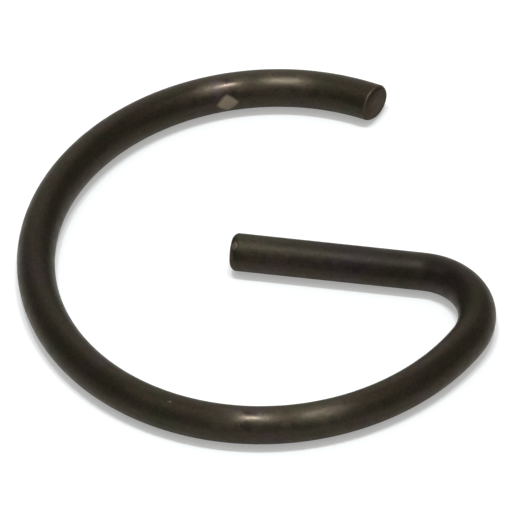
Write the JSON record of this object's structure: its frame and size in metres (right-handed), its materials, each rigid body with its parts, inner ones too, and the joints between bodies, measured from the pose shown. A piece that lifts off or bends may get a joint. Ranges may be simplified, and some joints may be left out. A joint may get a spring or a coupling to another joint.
{
  "type": "piston pin circlip",
  "caption": "Open ring of round spring wire with one end bent inwards as a straight tang, which locks a piston pin in its bore.",
  "frame": {"origin": "centre of the ring, at half the height of the wire", "axes": "+Z along the axis of the piston pin, +X from the ring's centre along the tang towards its bend"},
  "size_m": [0.0129, 0.0132, 0.001],
  "materials": {
    "spring_steel_wire": "satin brown-black, phosphated and oiled drawn wire"
  },
  "bodies": {
    "root": {"circlip": "spring_steel_wire"}
  },
  "joints": []
}
